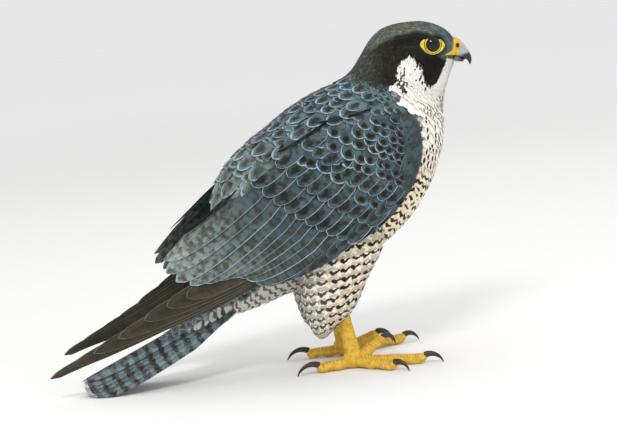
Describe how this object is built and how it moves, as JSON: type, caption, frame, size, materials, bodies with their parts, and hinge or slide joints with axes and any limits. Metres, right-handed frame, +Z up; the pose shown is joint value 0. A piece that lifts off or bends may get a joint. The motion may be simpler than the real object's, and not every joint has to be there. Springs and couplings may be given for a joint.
{
  "type": "peregrine falcon",
  "caption": "Adult peregrine falcon standing upright on both feet with folded wings, slate above and barred below, life size.",
  "frame": {"origin": "on the floor under the middle of the whole bird's bounding box", "axes": "+X the way the bird faces, +Y its left side, +Z up"},
  "size_m": [0.3774, 0.1358, 0.2787],
  "materials": {
    "plumage_dark": "slate feather vanes, matt",
    "plumage_pale": "soft feather coat, matt",
    "hood": "short dark feathers, matt",
    "yellow_skin": "scaly yellow skin, satin",
    "horn": "dark horn, glossy",
    "eye": "dark brown, wet"
  },
  "bodies": {
    "root": {"head": "hood", "neck": "plumage_pale", "torso": "plumage_pale", "tail": "plumage_dark", "cere": "yellow_skin", "bill_upper": "horn", "bill_lower": "horn", "eye_right": "eye", "wing_right": "plumage_dark", "thigh_right": "plumage_pale", "tarsus_right": "yellow_skin", "foot_right": "yellow_skin", "hallux_right": "yellow_skin", "hallux_claw_right": "horn", "inner_toe_right": "yellow_skin", "inner_toe_claw_right": "horn", "middle_toe_right": "yellow_skin", "middle_toe_claw_right": "horn", "outer_toe_right": "yellow_skin", "outer_toe_claw_right": "horn", "eye_left": "eye", "wing_left": "plumage_dark", "thigh_left": "plumage_pale", "tarsus_left": "yellow_skin", "foot_left": "yellow_skin", "hallux_left": "yellow_skin", "hallux_claw_left": "horn", "inner_toe_left": "yellow_skin", "inner_toe_claw_left": "horn", "middle_toe_left": "yellow_skin", "middle_toe_claw_left": "horn", "outer_toe_left": "yellow_skin", "outer_toe_claw_left": "horn"}
  },
  "joints": []
}
